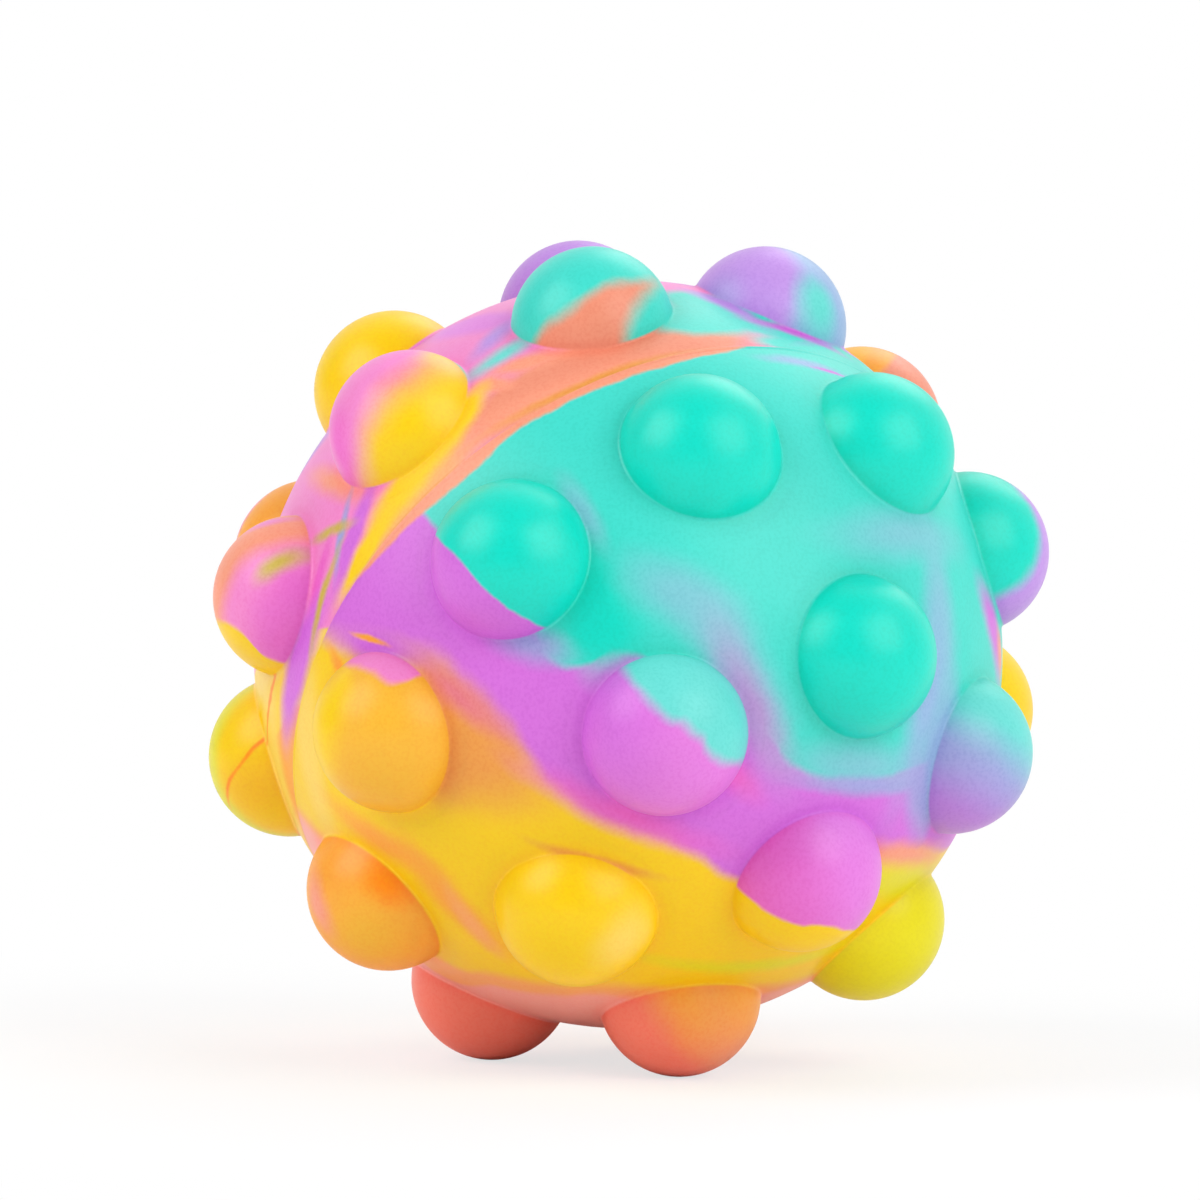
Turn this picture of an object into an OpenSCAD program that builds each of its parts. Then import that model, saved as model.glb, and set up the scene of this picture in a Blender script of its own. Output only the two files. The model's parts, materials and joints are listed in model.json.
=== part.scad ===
// Hollow silicone fidget ball. Two half shells are bonded at a seam, and each half carries
// domed bubbles in rings round its pole. A bubble is pressed in and stays there until it is
// pressed back. The ball stands on the tips of three bubbles, with the surface at Z = 0.

/* [Ball] */
// Outside diameter of the ball, without its bubbles
ball_d = 56; // [50:0.5:70]
// Thickness of the half shells' wall
shell_wall = 2.4; // [1.8:0.1:3.2]

/* [Bubbles] */
// Diameter of a bubble's hole in the ball
bubble_d = 12; // [10.6:0.1:13]
// Height of a bubble's tip above the ball
bubble_rise = 4.6; // [3.8:0.1:5]
// Thickness of a bubble's wall
bubble_wall = 1.2; // [0.8:0.1:1.6]
// Depth of a bubble's skirt below its rim
skirt_depth = 1.2; // [0.8:0.1:1.6]
// Gap round a bubble's rim, the width of its soft hinge
hinge_gap = 0.2; // [0.1:0.05:0.35]

/* [Fillet rings] */
// Width of the soft fillet round a bubble's hole, on the ball
fillet_w = 1.1; // [0.7:0.1:1.4]
// Width of the fillet's flat top
fillet_land = 0.2; // [0.1:0.05:0.4]

/* [Layout] */
// Angle from a pole to the first ring of bubbles, and on to the next ring
ring_pitch = 36; // [34:0.1:37]
// Bubbles in the ring round a pole
inner_count = 6; // [4:1:6]
// Bubbles in the ring beside the seam
outer_count = 10; // [8:1:10]
// Turn of the standing ball about the vertical
facing = 180; // [0:1:360]

/* [Seam] */
// Thickness of the bond between the half shells
bond_t = 0.4; // [0.2:0.1:0.8]
// Height of the bond's ridge above the ball
bond_ridge = 0.15; // [0.05:0.05:0.3]
// Depth that the bond is squeezed out inside the ball
bond_squeeze = 0.6; // [0.2:0.1:1]

/* [Hidden] */
$fn = 96;
teal = "#40e8d2";
orchid = "#d870e0";
pink = "#f07cc8";
yellow = "#f8d014";
amber = "#f7b440";
orange = "#ffa040";
coral = "#f56b5b";
lime = "#e6dc10";
lavender = "#9a90d0";

ball_r = ball_d / 2;
inner_r = ball_r - shell_wall;
hole_r = bubble_d / 2;

// A bubble's dome is the sphere through the edge of its hole and its tip.
hole_z = sqrt(ball_r * ball_r - hole_r * hole_r);
tip_z = ball_r + bubble_rise;
dome_h = tip_z - hole_z;
dome_r = (hole_r * hole_r + dome_h * dome_h) / (2 * dome_h);
dome_z = tip_z - dome_r;

// The rim is where the dome is narrower than its hole by the hinge gap. Below it the skirt
// leans in by half the angle between neighbours, so that pressed bubbles pass each other.
rim_r = hole_r - hinge_gap;
rim_z = dome_z + sqrt(dome_r * dome_r - rim_r * rim_r);
inner_lean = asin(sin(ring_pitch) * sin(180 / inner_count));
outer_lean = asin(sin(2 * ring_pitch) * sin(180 / outer_count));
skirt_lean = min(inner_lean, outer_lean);
skirt_z = rim_z - skirt_depth;
skirt_r = rim_r - skirt_depth * tan(skirt_lean);

// The fillet ring is a cone that leaves the ball and ends level with the rim.
fillet_top_r = hole_r + fillet_land;
fillet_foot_r = hole_r + fillet_w;
fillet_foot_z = sqrt(ball_r * ball_r - fillet_foot_r * fillet_foot_r);
fillet_slope = (fillet_foot_r - fillet_top_r) / (rim_z - fillet_foot_z);

// Fillet rings reach into the wall by this depth, and holes start below it by as much, short
// of the neighbours' holes.
overlap_depth = shell_wall / 4;
hole_foot_z = sqrt(inner_r * inner_r - hole_r * hole_r) - overlap_depth;

// Each bubble is [name, angle from the front pole, angle round it, colour].
function ring(name, angle, count, colours) = [
    for (k = [0 : count - 1])
        [str(name, "_", k + 1), angle, k * 360 / count, colours[k]]
];
FRONT = concat(
    [["front_centre_bubble", 0, 0, orchid]],
    ring("front_inner_bubble", ring_pitch, inner_count, [orchid, yellow, coral, lime, teal, teal]),
    ring("front_outer_bubble", 2 * ring_pitch, outer_count,
        [teal, amber, orange, coral, yellow, lime, yellow, teal, teal, teal])
);
REAR = concat(
    [["rear_centre_bubble", 180, 0, lavender]],
    ring("rear_inner_bubble", 180 - ring_pitch, inner_count, [yellow, orange, pink, teal, amber, orchid]),
    ring("rear_outer_bubble", 180 - 2 * ring_pitch, outer_count,
        [yellow, pink, yellow, coral, orange, pink, teal, orange, orchid, teal])
);
BUBBLES = concat(FRONT, REAR);

// The ball stands on two neighbours of the outer ring and the inner bubble nearest to both.
function spot(angle, turn) = [sin(angle) * cos(turn), sin(angle) * sin(turn), cos(angle)];
first_foot = 3;
foot_turn = first_foot * 360 / outer_count;
next_foot_turn = (first_foot + 1) * 360 / outer_count;
inner_foot_turn = round((foot_turn + next_foot_turn) / 2 * inner_count / 360) * 360 / inner_count;
foot_a = spot(2 * ring_pitch, foot_turn);
foot_b = spot(2 * ring_pitch, next_foot_turn);
foot_c = spot(ring_pitch, inner_foot_turn);
feet_normal = cross(foot_b - foot_a, foot_c - foot_a);
down = feet_normal / norm(feet_normal);
stand_axis = cross(down, [0, 0, -1]);
stand_angle = acos(-down.z);
stand_h = dome_z * (foot_a * down) + dome_r;

module stand() {
    translate([0, 0, stand_h])
        rotate([0, 0, facing])
            rotate(a = stand_angle, v = stand_axis)
                children();
}

module at_bubble(b) {
    rotate([0, b[1], b[2]])
        children();
}

module fillet_ring() {
    translate([0, 0, fillet_foot_z - overlap_depth])
        cylinder(
            h = rim_z - fillet_foot_z + overlap_depth,
            r1 = fillet_foot_r + fillet_slope * overlap_depth,
            r2 = fillet_top_r
        );
}

module bubble_hole() {
    translate([0, 0, hole_foot_z])
        cylinder(h = tip_z - hole_foot_z, r = hole_r);
}

module hollow_half() {
    difference() {
        sphere(ball_r);
        sphere(inner_r);
        translate([0, 0, bond_t / 2 - ball_d])
            cylinder(h = ball_d, r = ball_d);
    }
}

module half_shell(bubbles, flip) {
    difference() {
        union() {
            rotate([flip, 0, 0])
                hollow_half();
            for (b = bubbles)
                at_bubble(b)
                    fillet_ring();
        }
        for (b = bubbles)
            at_bubble(b)
                bubble_hole();
    }
}

module front_half_shell() {
    color(teal)
        stand()
            half_shell(FRONT, 0);
}

module rear_half_shell() {
    color(coral)
        stand()
            half_shell(REAR, 180);
}

module seam_bond() {
    color(orange)
        stand()
            difference() {
                cylinder(h = bond_t, r = ball_r + bond_ridge, center = true);
                cylinder(h = 2 * bond_t, r = inner_r - bond_squeeze, center = true);
            }
}

module bubble(b) {
    color(b[3])
        stand()
            at_bubble(b)
                difference() {
                    intersection() {
                        translate([0, 0, dome_z])
                            sphere(dome_r);
                        translate([0, 0, skirt_z])
                            cylinder(h = ball_d, r1 = skirt_r, r2 = skirt_r + ball_d * tan(skirt_lean));
                    }
                    translate([0, 0, dome_z])
                        sphere(dome_r - bubble_wall);
                }
}

front_half_shell();
rear_half_shell();
seam_bond();
for (b = BUBBLES)
    bubble(b);
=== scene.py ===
# %% [markdown]
# # A tie-dyed bubble ball
# The object is a hollow ball of soft silicone rubber with domed bubbles all over it. A bubble can
# be pushed in, and it stays in until it is pushed out again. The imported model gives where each
# bubble is and which way it goes in. This lesson makes the skin, the soft bubbles and the dye
# around that frame, so the frame is loaded first.

import json
from collections import namedtuple
from math import asin, atan2, cos, hypot, pi, radians, sin, sqrt

import bpy
from mathutils import Matrix, Vector, noise
from mathutils.geometry import delaunay_2d_cdt


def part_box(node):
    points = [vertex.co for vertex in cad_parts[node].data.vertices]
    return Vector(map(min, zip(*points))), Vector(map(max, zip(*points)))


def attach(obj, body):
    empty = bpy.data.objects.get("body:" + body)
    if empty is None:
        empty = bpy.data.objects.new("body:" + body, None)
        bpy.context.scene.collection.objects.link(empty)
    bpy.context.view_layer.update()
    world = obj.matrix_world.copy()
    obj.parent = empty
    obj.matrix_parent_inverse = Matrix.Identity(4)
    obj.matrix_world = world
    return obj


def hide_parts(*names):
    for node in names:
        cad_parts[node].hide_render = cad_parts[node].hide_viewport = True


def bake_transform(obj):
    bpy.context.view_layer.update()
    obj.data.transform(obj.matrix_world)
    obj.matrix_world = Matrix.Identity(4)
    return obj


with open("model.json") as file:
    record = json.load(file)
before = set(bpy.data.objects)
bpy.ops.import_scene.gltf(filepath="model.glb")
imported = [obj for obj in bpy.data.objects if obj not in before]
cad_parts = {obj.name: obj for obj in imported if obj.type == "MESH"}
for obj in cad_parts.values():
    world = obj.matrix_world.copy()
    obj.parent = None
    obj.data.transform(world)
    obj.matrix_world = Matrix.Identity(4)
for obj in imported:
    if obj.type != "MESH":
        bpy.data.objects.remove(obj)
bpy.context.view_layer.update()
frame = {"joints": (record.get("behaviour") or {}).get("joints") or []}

# %% [markdown]
# The seam ring is centred on the ball, so the middle of its box is the ball's centre. Each press
# slides towards that centre, so the other way along it is the bubble's outward axis. Both could be
# typed in as numbers, but read from the frame they keep the looks where the construction is.
# Lengths below are in millimetres, and MM turns them into Blender's metres.

# %% Measure the ball
MM = 0.001
BALL_R = 28.0
WALL = 2.4
seam_low, seam_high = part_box("seam_bond")
CENTRE = (seam_low + seam_high) / 2
AXES = {joint["child"]: -Vector(joint["axis"]).normalized() for joint in frame["joints"]}
POLES = {half: AXES[half + "_centre_bubble"] for half in ("front", "rear")}


def half_of(bubble):
    """The half that a bubble belongs to, which its name starts with."""
    return bubble.split("_")[0]


def across(axis):
    """Two unit vectors square to the axis and to each other, turning anticlockwise about it."""
    side = axis.orthogonal().normalized()
    return side, axis.cross(side)


print("centre at", [round(value / MM, 2) for value in CENTRE], "mm, bubbles:", len(AXES))

# %% [markdown]
# A bubble is a surface of revolution. From the outside in, its profile runs along the ball, up a
# tight concave fillet and over a dome to the tip. A Bevel modifier could round the foot, but its
# width would depend on the faces beside it. Here the fillet is an arc that touches both the ball
# and the dome, so its centre comes from two distances, and no edge shows where the curves meet.

# %% The profile of a bubble
DOME_R = 6.05
DOME_Z = 26.55
DOME_STEPS = 20
TIP_Z = DOME_Z + DOME_R
FILLET_R = 0.28
FILLET_STEPS = 8
FOOT_R = 7.2
FOOT_ANGLE = asin(FOOT_R / BALL_R)
GUARD = 0.12


def arc(centre, radius, start, end, steps):
    """Points on an arc round a centre (r, z), with angles from the r axis, both ends included."""
    angles = [start + (end - start) * k / steps for k in range(steps + 1)]
    return [(centre[0] + radius * cos(a), centre[1] + radius * sin(a)) for a in angles]


def bubble_profile():
    """The outside of a bubble as (r, z) points, from its foot on the ball to just short of the tip."""
    out, up = BALL_R + FILLET_R, DOME_R + FILLET_R
    fillet_z = (out ** 2 - up ** 2 + DOME_Z ** 2) / (2 * DOME_Z)
    fillet_r = sqrt(out ** 2 - fillet_z ** 2)
    ball_lean = asin(fillet_r / out)
    dome_rise = asin((fillet_z - DOME_Z) / up)
    foot = [(BALL_R * sin(a), BALL_R * cos(a)) for a in (FOOT_ANGLE, FOOT_ANGLE - GUARD / BALL_R)]
    fillet = arc((fillet_r, fillet_z), FILLET_R, -pi / 2 - ball_lean, -pi + dome_rise, FILLET_STEPS)
    dome = arc((0, DOME_Z), DOME_R, dome_rise, pi / 2, DOME_STEPS)
    print("the fillet leaves the ball", round(hypot(*fillet[0]), 3), "mm from the centre")
    return foot + fillet[:-1] + dome[:-1]


PROFILE = bubble_profile()
print("profile of", len(PROFILE), "points, tip at", TIP_Z, "mm from the centre")

# %% [markdown]
# The dye has to stay in the rubber when a bubble is pressed in. A shader that looked at where a
# vertex is now would let the dye slide over the rubber as it moves. So every vertex remembers its
# place in the ball as it was cast, in millimetres from the centre, in an attribute of the mesh,
# and the dye's shader reads that place instead.

# %% A piece of rubber
SHARP_DEGREES = 50


def rubber(name, vertices, faces):
    """A smooth mesh from points in mm about the ball's centre, which remembers where it was cast."""
    mesh = bpy.data.meshes.new(name)
    mesh.from_pydata([CENTRE + MM * Vector(v) for v in vertices], [], faces)
    cast = mesh.attributes.new("cast", "FLOAT_VECTOR", "POINT")
    cast.data.foreach_set("vector", [value for v in vertices for value in v])
    mesh.shade_smooth()
    mesh.set_sharp_from_angle(angle=radians(SHARP_DEGREES))
    piece = bpy.data.objects.new(name, mesh)
    bpy.context.scene.collection.objects.link(piece)
    return piece


print("rubber is smooth, with a crisp edge beyond", SHARP_DEGREES, "degrees")

# %% [markdown]
# A bubble's wall is thin at the foot, where it hinges, and full over the dome. The form could be
# spun from a curve by a Screw modifier. Rings of points written in code give the same form, and
# each ring's height is then at hand, to say how thick the wall is there.

# %% Rings of a bubble
AROUND = 64
BUBBLE_WALL = 1.2
HINGE_WALL = 0.3
HINGE_Z = (27.5, 28.3, 30.4)
INNER_SHARE = (BALL_R - WALL) / BALL_R
ROWS = [(PROFILE[0][0] * INNER_SHARE, PROFILE[0][1] * INNER_SHARE)] + PROFILE
TIP = len(ROWS) * AROUND


def ring(axis, radius, height):
    """Points of a circle about a bubble's axis."""
    side, other = across(axis)
    turns = [2 * pi * k / AROUND for k in range(AROUND)]
    return [height * axis + radius * (cos(a) * side + sin(a) * other) for a in turns]


def dome_faces():
    """Quads from ring to ring, and a fan from the last ring to the tip."""
    faces = []
    for row in range(len(ROWS) - 1):
        for k in range(AROUND):
            a, b = row * AROUND + k, row * AROUND + (k + 1) % AROUND
            faces.append((a, b, b + AROUND, a + AROUND))
    last = TIP - AROUND
    return faces + [(last + k, last + (k + 1) % AROUND, TIP) for k in range(AROUND)]


def wall_share(height):
    """How thick a bubble's wall is at a height, as a share of its full wall."""
    low, thin, full = HINGE_Z
    away = (thin - height) / (thin - low) if height < thin else (height - thin) / (full - thin)
    least = HINGE_WALL / BUBBLE_WALL
    return least + (1 - least) * min(max(away, 0), 1)


print(len(ROWS), "rings in a bubble, with a wall of", HINGE_WALL, "to", BUBBLE_WALL, "mm")

# %% [markdown]
# On the real ball a bubble is one skin with its half shell, and it turns inside out when it is
# pressed. Shape keys could show that, but they wouldn't follow a press by themselves. Here each
# bubble is its own mesh that starts at the foot ring in the shell's wall, and a Solidify modifier
# gives it its wall.


def add_wall(piece):
    """A Solidify modifier whose weights make the wall thin at the hinge."""
    wall = piece.vertex_groups.new(name="wall")
    for row, (_, height) in enumerate(ROWS):
        wall.add(list(range(row * AROUND, (row + 1) * AROUND)), wall_share(height), "REPLACE")
    wall.add([TIP], wall_share(TIP_Z), "REPLACE")
    solid = piece.modifiers.new("wall", "SOLIDIFY")
    solid.thickness = BUBBLE_WALL * MM
    solid.offset = -1
    solid.use_even_offset = True
    solid.vertex_group = "wall"


def make_bubble(name):
    axis = AXES[name]
    vertices = [point for row in ROWS for point in ring(axis, *row)]
    vertices.append(TIP_Z * axis)
    piece = rubber(name + "_dome", vertices, dome_faces())
    add_wall(piece)
    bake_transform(piece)
    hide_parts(name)
    return piece


bubbles = {name: make_bubble(name) for name in AXES}
print(len(bubbles), "bubbles of", len(bubbles["front_centre_bubble"].data.vertices), "vertices")

# %% [markdown]
# A half shell is a half ball with a round hole for each bubble's foot. A Boolean could cut the
# holes from a sphere, but it would leave slivers along them and a pinch at the pole. Here the
# points come first: a circle along the rim, a ring at each foot, a second one close beside each of
# these to hold the shading there, and an even spread between them that turns by the golden angle.

# %% Points of a half shell
SEAM_GAP = 0.2
RIM_STEPS = 320
RIM_GUARD = 2 * GUARD
SKIN_STEP = 1.0
CLEAR_OF_FOOT = 0.7 * SKIN_STEP
GOLDEN_TURN = pi * (3 - sqrt(5))


def turned(pole, level, turn):
    """The direction that is a level up a pole and a turn round it."""
    side, other = across(pole)
    return level * pole + sqrt(1 - level ** 2) * (cos(turn) * side + sin(turn) * other)


def rim_circle(pole, height):
    """Directions round a half, at a height above the middle of the seam."""
    return [turned(pole, height / BALL_R, 2 * pi * k / RIM_STEPS) for k in range(RIM_STEPS)]


def skin_points(pole, axes):
    """Directions for a half shell's skin, and the loops of their indices that bound it."""
    points = rim_circle(pole, SEAM_GAP)
    loops = [range(RIM_STEPS)]
    for axis in axes:
        loops.append(range(len(points), len(points) + AROUND))
        points += ring(axis, sin(FOOT_ANGLE), cos(FOOT_ANGLE))
    points += rim_circle(pole, SEAM_GAP + RIM_GUARD)
    near = FOOT_ANGLE + GUARD / BALL_R
    for axis in axes:
        points += ring(axis, sin(near), cos(near))
    count = round(2 * pi * (BALL_R / SKIN_STEP) ** 2)
    clear = cos(FOOT_ANGLE + CLEAR_OF_FOOT / BALL_R)
    for k in range(count):
        level = 1 - (k + 0.5) / count
        spot = turned(pole, level, k * GOLDEN_TURN)
        if level * BALL_R > SEAM_GAP + SKIN_STEP and all(spot.dot(axis) < clear for axis in axes):
            points.append(spot)
    return points, loops


HALF_AXES = {half: [axis for name, axis in AXES.items() if half_of(name) == half] for half in POLES}
HALF_POINTS = {half: skin_points(POLES[half], HALF_AXES[half]) for half in POLES}
print("points outside on each half:", [len(points) for points, _ in HALF_POINTS.values()])

# %% [markdown]
# Seen from the far pole, a stereographic projection lays the half out flat and keeps circles as
# circles. There a Delaunay triangulation joins the points, and the faces inside a hole are left
# out. Lifted back to the ball, it gives a skin without poles or long faces. The real shell has a
# wall, so the same skin is laid inside it, and short walls close the rim and the holes. Solidify
# could do that too, but these walls have to point straight at the ball's centre.

# %% The skin and the wall of a half shell
RIM_ROLL = 0.01
WELD = 1e-7
HOLE_EASE = 0.2 * GUARD


def skin_faces(half):
    """Triangles that join a half's points, without those that lie in a hole."""
    points, loops = HALF_POINTS[half]
    pole = POLES[half]
    side, other = across(pole)
    flat = [Vector((p.dot(side), p.dot(other))) / (1 + p.dot(pole)) for p in points]
    edges = [(loop[k], loop[(k + 1) % len(loop)]) for loop in loops for k in range(len(loop))]
    _, _, found, sources, *_ = delaunay_2d_cdt(flat, edges, [], 0, WELD)
    in_hole = cos(FOOT_ANGLE - HOLE_EASE / BALL_R)
    skin = []
    for face in found:
        corners = [sources[k][0] for k in face]
        middle = sum((points[k] for k in corners), Vector()).normalized()
        if all(middle.dot(axis) < in_hole for axis in HALF_AXES[half]):
            skin.append(corners)
    return skin


def make_shell(half):
    """A half shell: its outer skin, the same skin inside, and walls along the rim and the holes."""
    points, loops = HALF_POINTS[half]
    skin = skin_faces(half)
    count = len(points)
    outer = [BALL_R * p for p in points]
    for k in loops[0]:
        outer[k] = (BALL_R - RIM_ROLL) * points[k]
    inner = [(BALL_R - WALL) * p for p in points]
    paths = {(face[k], face[(k + 1) % 3]) for face in skin for k in range(3)}
    open_paths = [(a, b) for a, b in paths if (b, a) not in paths]
    faces = skin + [[k + count for k in reversed(face)] for face in skin]
    faces += [[b, a, a + count, b + count] for a, b in sorted(open_paths)]
    piece = rubber(half + "_shell_skin", outer + inner, faces)
    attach(piece, "ball")
    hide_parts(half + "_half_shell")
    print(half, "shell:", len(skin), "faces outside, walls along", len(open_paths), "edges")
    return piece


shells = {half: make_shell(half) for half in POLES}

# %% [markdown]
# The halves are glued rim to rim, and the glue stands a hair proud of the ball. A torus would be
# too even for that. This is a thin ring with a rounded crest, whose height wanders as a real bead's
# does. The noise is read at points on the ring, so it closes on itself and is the same on every run.

# %% Seam bead
CREST = 0.02
CREST_WANDER = 0.02
CREST_PITCH = 3
BEAD_FOOT = 3.0
BEAD_STEPS = 480
BEAD_ROWS = 6


def bead_section(turn):
    """The bead's outline at a turn round the ball: over its crest, and back under its foot."""
    pole = POLES["front"]
    side, other = across(pole)
    out = cos(turn) * side + sin(turn) * other
    crest = CREST + CREST_WANDER * noise.noise(CREST_PITCH * out)
    section = []
    for row in range(BEAD_ROWS + 1):
        share = 2 * row / BEAD_ROWS - 1
        rise = (crest + RIM_ROLL) * (1 - share ** 2) - RIM_ROLL
        section.append((BALL_R + rise) * out + share * SEAM_GAP * pole)
    foot = (BALL_R - BEAD_FOOT) * out
    return section + [foot + SEAM_GAP * pole, foot - SEAM_GAP * pole]


def make_bead():
    sections = [bead_section(2 * pi * k / BEAD_STEPS) for k in range(BEAD_STEPS)]
    count = len(sections[0])
    faces = []
    for k in range(BEAD_STEPS):
        start, onward = k * count, (k + 1) % BEAD_STEPS * count
        for row in range(count):
            after = (row + 1) % count
            faces.append((start + row, onward + row, onward + after, start + after))
    piece = rubber("seam_bead", [point for section in sections for point in section], faces)
    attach(piece, "ball")
    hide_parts("seam_bond")
    return piece


bead = make_bead()
print("seam bead of", len(bead.data.polygons), "faces")

# %% [markdown]
# The camera stands a little above the ball and far off, as the photograph's did. It could be put in
# place by eye, but the ball's width in the picture and its distance give the lens, and the shift
# puts the ball where it sits in the frame. The picture's right and up directions are kept, to
# place the dye as it is seen.

# %% Camera
PICTURE = 1200
SENSOR = 36.0
BALL_RADIUS_PX = 374.3
BALL_PX = (628.2, 654.3)
CAMERA_AWAY = 700.0
CAMERA_TURN = radians(1.37)
CAMERA_LIFT = radians(3.8)
CAMERA_ROLL = radians(0.9)
CLIP_NEAR = 0.01
CLIP_FAR = 20

level_right = Vector((cos(CAMERA_TURN), sin(CAMERA_TURN), 0))
TOWARD = Vector((
    sin(CAMERA_TURN) * cos(CAMERA_LIFT),
    -cos(CAMERA_TURN) * cos(CAMERA_LIFT),
    sin(CAMERA_LIFT),
))
level_up = TOWARD.cross(level_right)
RIGHT = cos(CAMERA_ROLL) * level_right + sin(CAMERA_ROLL) * level_up
UP = TOWARD.cross(RIGHT)

lens = bpy.data.cameras.new("photo_lens")
lens.sensor_width = SENSOR
lens.lens = SENSOR * BALL_RADIUS_PX / PICTURE * sqrt(CAMERA_AWAY ** 2 - BALL_R ** 2) / BALL_R
lens.shift_x = 0.5 - BALL_PX[0] / PICTURE
lens.shift_y = BALL_PX[1] / PICTURE - 0.5
lens.clip_start = CLIP_NEAR
lens.clip_end = CLIP_FAR
camera = bpy.data.objects.new("photo_camera", lens)
facing = Matrix((RIGHT, UP, TOWARD)).transposed().to_4x4()
camera.matrix_world = Matrix.Translation(CENTRE + CAMERA_AWAY * MM * TOWARD) @ facing
bpy.context.scene.collection.objects.link(camera)
bpy.context.scene.camera = camera
print("lens of", round(lens.lens, 1), "mm")

# %% [markdown]
# The dye was poured into the mould in puddles and streaks. Each has a place, which could be given as
# a direction from the ball's centre, but a place is easier to read off as it is seen: in
# millimetres right and up of the ball's centre in the picture. A ray then finds the rubber there. A
# far place is given in the same way, as if the ball were clear, and a bubble's name is a place too.

# %% Where a place is on the ball
Far = namedtuple("Far", "right up")


def far_side(place):
    """The direction of a place on the far side of the ball, behind what the camera sees."""
    depth = sqrt(BALL_R ** 2 - place.right ** 2 - place.up ** 2)
    return (place.right * RIGHT + place.up * UP - depth * TOWARD) / BALL_R


def seen(place):
    """The direction of a place: a bubble's name, a far place, or (right, up) in the picture."""
    if isinstance(place, str):
        return AXES[place]
    if isinstance(place, Far):
        return far_side(place)
    eye = CAMERA_AWAY * TOWARD
    aim = (place[0] * RIGHT + place[1] * UP - eye).normalized()
    nearest, spot = None, eye - eye.dot(aim) * aim
    for centre, radius in [(Vector(), BALL_R)] + [(DOME_Z * axis, DOME_R) for axis in AXES.values()]:
        along = (centre - eye).dot(aim)
        miss = (eye + along * aim - centre).length
        if miss < radius:
            hit = along - sqrt(radius ** 2 - miss ** 2)
            if nearest is None or hit < nearest:
                nearest, spot = hit, eye + hit * aim
    return spot.normalized()


print("the picture's middle of the ball is towards", [round(value, 2) for value in seen((0, 0))])

# %% [markdown]
# Shader maths reads best as sums. Nodes could be added and linked one by one, but a single streak
# of dye would then take a page. This small class wraps a node's output: adding, taking away,
# multiplying and dividing make Math nodes, and `node` makes any other node from its type, its
# settings and what goes into it. The line of a curve node is one of its settings.

# %% Sockets as values
def draw_line(mapping, line):
    """Draws a curve node's line through points, of which the first and the last are its ends."""
    points = mapping.curves[0].points
    points[0].location = line[0]
    for spot in line[1:-1]:
        points.new(*spot)
    points[len(points) - 1].location = line[-1]
    mapping.extend = "HORIZONTAL"
    mapping.update()


class Value:
    """A node's output, to be used in sums."""

    def __init__(self, tree, socket=None):
        self.tree = tree
        self.socket = socket

    def node(self, kind, settings=None, inputs=None, output=0):
        """Adds a node to the same tree and returns one of its outputs."""
        made = self.tree.nodes.new(kind)
        for name, setting in (settings or {}).items():
            if name == "line":
                draw_line(made.mapping, setting)
            else:
                setattr(made, name, setting)
        for key, value in (inputs or {}).items():
            if isinstance(value, Value):
                self.tree.links.new(value.socket, made.inputs[key])
            else:
                made.inputs[key].default_value = value
        return Value(self.tree, made.outputs[output])

    def also(self, output):
        """Another output of the same node."""
        return Value(self.tree, self.socket.node.outputs[output])

    def maths(self, operation, first, second):
        return self.node("ShaderNodeMath", {"operation": operation}, {0: first, 1: second})

    def __add__(self, other):
        return self.maths("ADD", self, other)

    def __radd__(self, other):
        return self.maths("ADD", other, self)

    def __sub__(self, other):
        return self.maths("SUBTRACT", self, other)

    def __rsub__(self, other):
        return self.maths("SUBTRACT", other, self)

    def __mul__(self, other):
        return self.maths("MULTIPLY", self, other)

    def __rmul__(self, other):
        return self.maths("MULTIPLY", other, self)

    def __rtruediv__(self, other):
        return self.maths("DIVIDE", other, self)

    def vector(self, operation, *values, **named):
        """A vector sum of this value with others."""
        inputs = dict(enumerate((self, *values))) | named
        return self.node("ShaderNodeVectorMath", {"operation": operation}, inputs, "Vector")

    def measure(self, operation, *values):
        """A vector sum that gives a number, such as a length."""
        inputs = dict(enumerate((self, *values)))
        return self.node("ShaderNodeVectorMath", {"operation": operation}, inputs, "Value")

    def step(self, low, high):
        """A smooth step from 0 at low to 1 at high, or down from 1 where high is below low."""
        inputs = {"Value": self, "From Min": low, "From Max": high}
        return self.node("ShaderNodeMapRange", {"interpolation_type": "SMOOTHSTEP"}, inputs)

    def between(self, under, over):
        """A colour with this share of another one over it."""
        return self.node("ShaderNodeMix", {"data_type": "RGBA"}, {0: self, 6: under, 7: over}, 2)


print("values are ready for shader maths")

# %% [markdown]
# The dyes are the colours of the photograph, written as they look on a screen. Blender mixes light
# and not screen values. A colour picker turns one into the other by itself, but a value set from
# Python is taken as light, so each code is turned into linear light here. The satin skin reflects
# a little white of its own, and that much is taken off each dye.

# %% Dyes
SKIN_WHITE = 0.012
TOE_END = 0.04
TOE_SLOPE = 12.92
CURVE_LIFT = 0.055
CURVE_POWER = 2.4


def linear(code):
    """A screen colour such as 40e8d2 as linear light, with full alpha and without the skin's white."""
    light = []
    for k in (0, 2, 4):
        part = int(code[k:k + 2], 16) / 255
        toe = part / TOE_SLOPE
        curve = ((part + CURVE_LIFT) / (1 + CURVE_LIFT)) ** CURVE_POWER
        light.append(max((toe if part < TOE_END else curve) - SKIN_WHITE, 0))
    return (*light, 1)


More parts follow.
